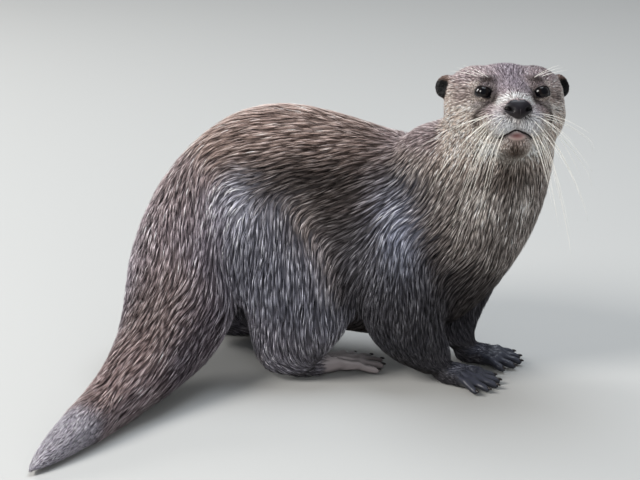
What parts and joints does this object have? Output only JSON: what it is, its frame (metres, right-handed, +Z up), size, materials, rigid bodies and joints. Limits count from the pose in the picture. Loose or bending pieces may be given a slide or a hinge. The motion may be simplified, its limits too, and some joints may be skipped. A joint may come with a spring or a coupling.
{
  "type": "asian small-clawed otter",
  "caption": "Life-size otter standing on four feet as a still model, back arched, head turned to its right, long tapering tail laid along the floor",
  "frame": {"origin": "centre of the bounding box at floor level, z = 0 under the soles and the tail", "axes": "+X the way the otter walks, +Y its left, +Z up; its head is turned to its right, towards -Y"},
  "size_m": [0.4294, 0.3578, 0.2752],
  "materials": {
    "fur_head": "short dense fur, grey beige",
    "fur_body": "damp dense fur, grey brown",
    "fur_tail": "short dense fur, warm brown",
    "bare_skin": "damp, thinly haired dark skin",
    "nose": "moist, finely grained",
    "eye": "wet gloss"
  },
  "bodies": {
    "root": {"head": "fur_head", "nose": "nose", "eye_left": "eye", "eye_right": "eye", "ear_left": "fur_head", "ear_right": "fur_head", "neck": "fur_head", "chest": "fur_body", "belly": "fur_body", "rump": "fur_body", "tail_base": "fur_tail", "tail_middle": "fur_tail", "tail_tip": "fur_tail", "upper_arm_left": "fur_body", "upper_arm_right": "fur_body", "forearm_left": "fur_body", "forearm_right": "fur_body", "forepaw_left": "bare_skin", "forepaw_right": "bare_skin", "thigh_left": "fur_body", "thigh_right": "fur_body", "shank_left": "fur_body", "shank_right": "fur_body", "hind_foot_left": "bare_skin", "hind_foot_right": "bare_skin"}
  },
  "joints": []
}
